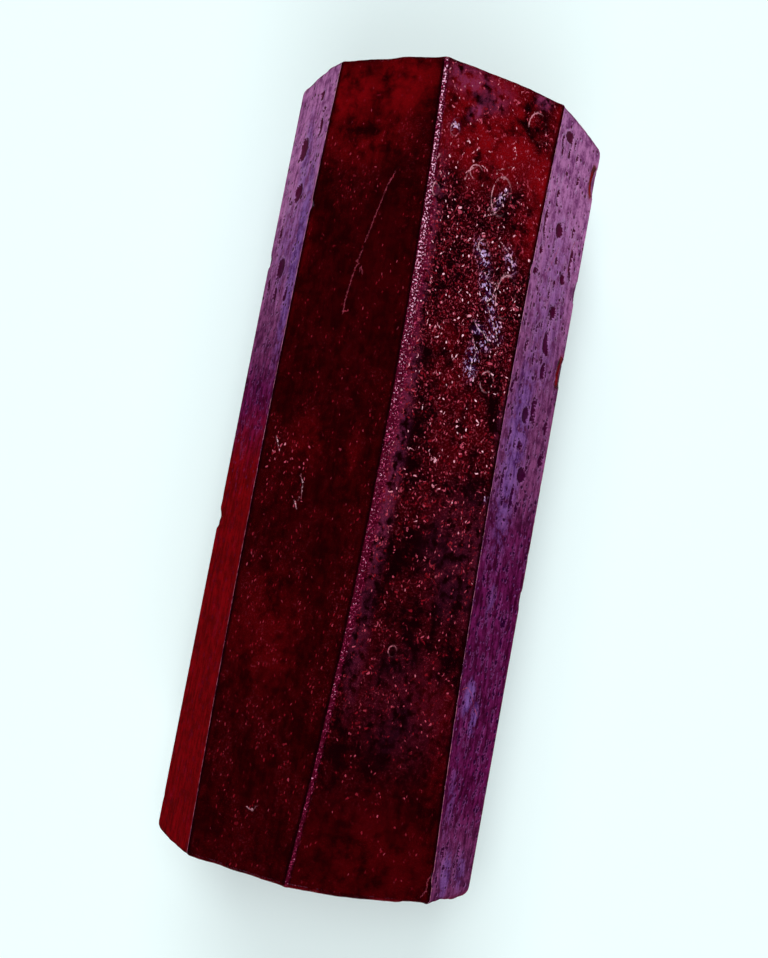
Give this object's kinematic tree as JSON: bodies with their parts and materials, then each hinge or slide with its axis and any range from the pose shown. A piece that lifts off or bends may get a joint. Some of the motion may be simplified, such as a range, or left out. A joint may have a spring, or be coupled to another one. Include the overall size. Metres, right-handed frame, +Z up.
{
  "type": "red beryl crystal",
  "caption": "Rough translucent red beryl: a long prism crystal with a bevelled hexagonal section, pitted faces and broken ends, lying on a side.",
  "frame": {"origin": "middle of the face that the crystal lies on, under the centre of its box", "axes": "+Z up from that face, +Y along the crystal towards its far broken end, +X across it"},
  "size_m": [0.0402, 0.1, 0.0435],
  "materials": {
    "red_beryl": "natural crystal face, glossy to etched satin, deep red see-through"
  },
  "bodies": {
    "root": {"crystal": "red_beryl"}
  },
  "joints": []
}
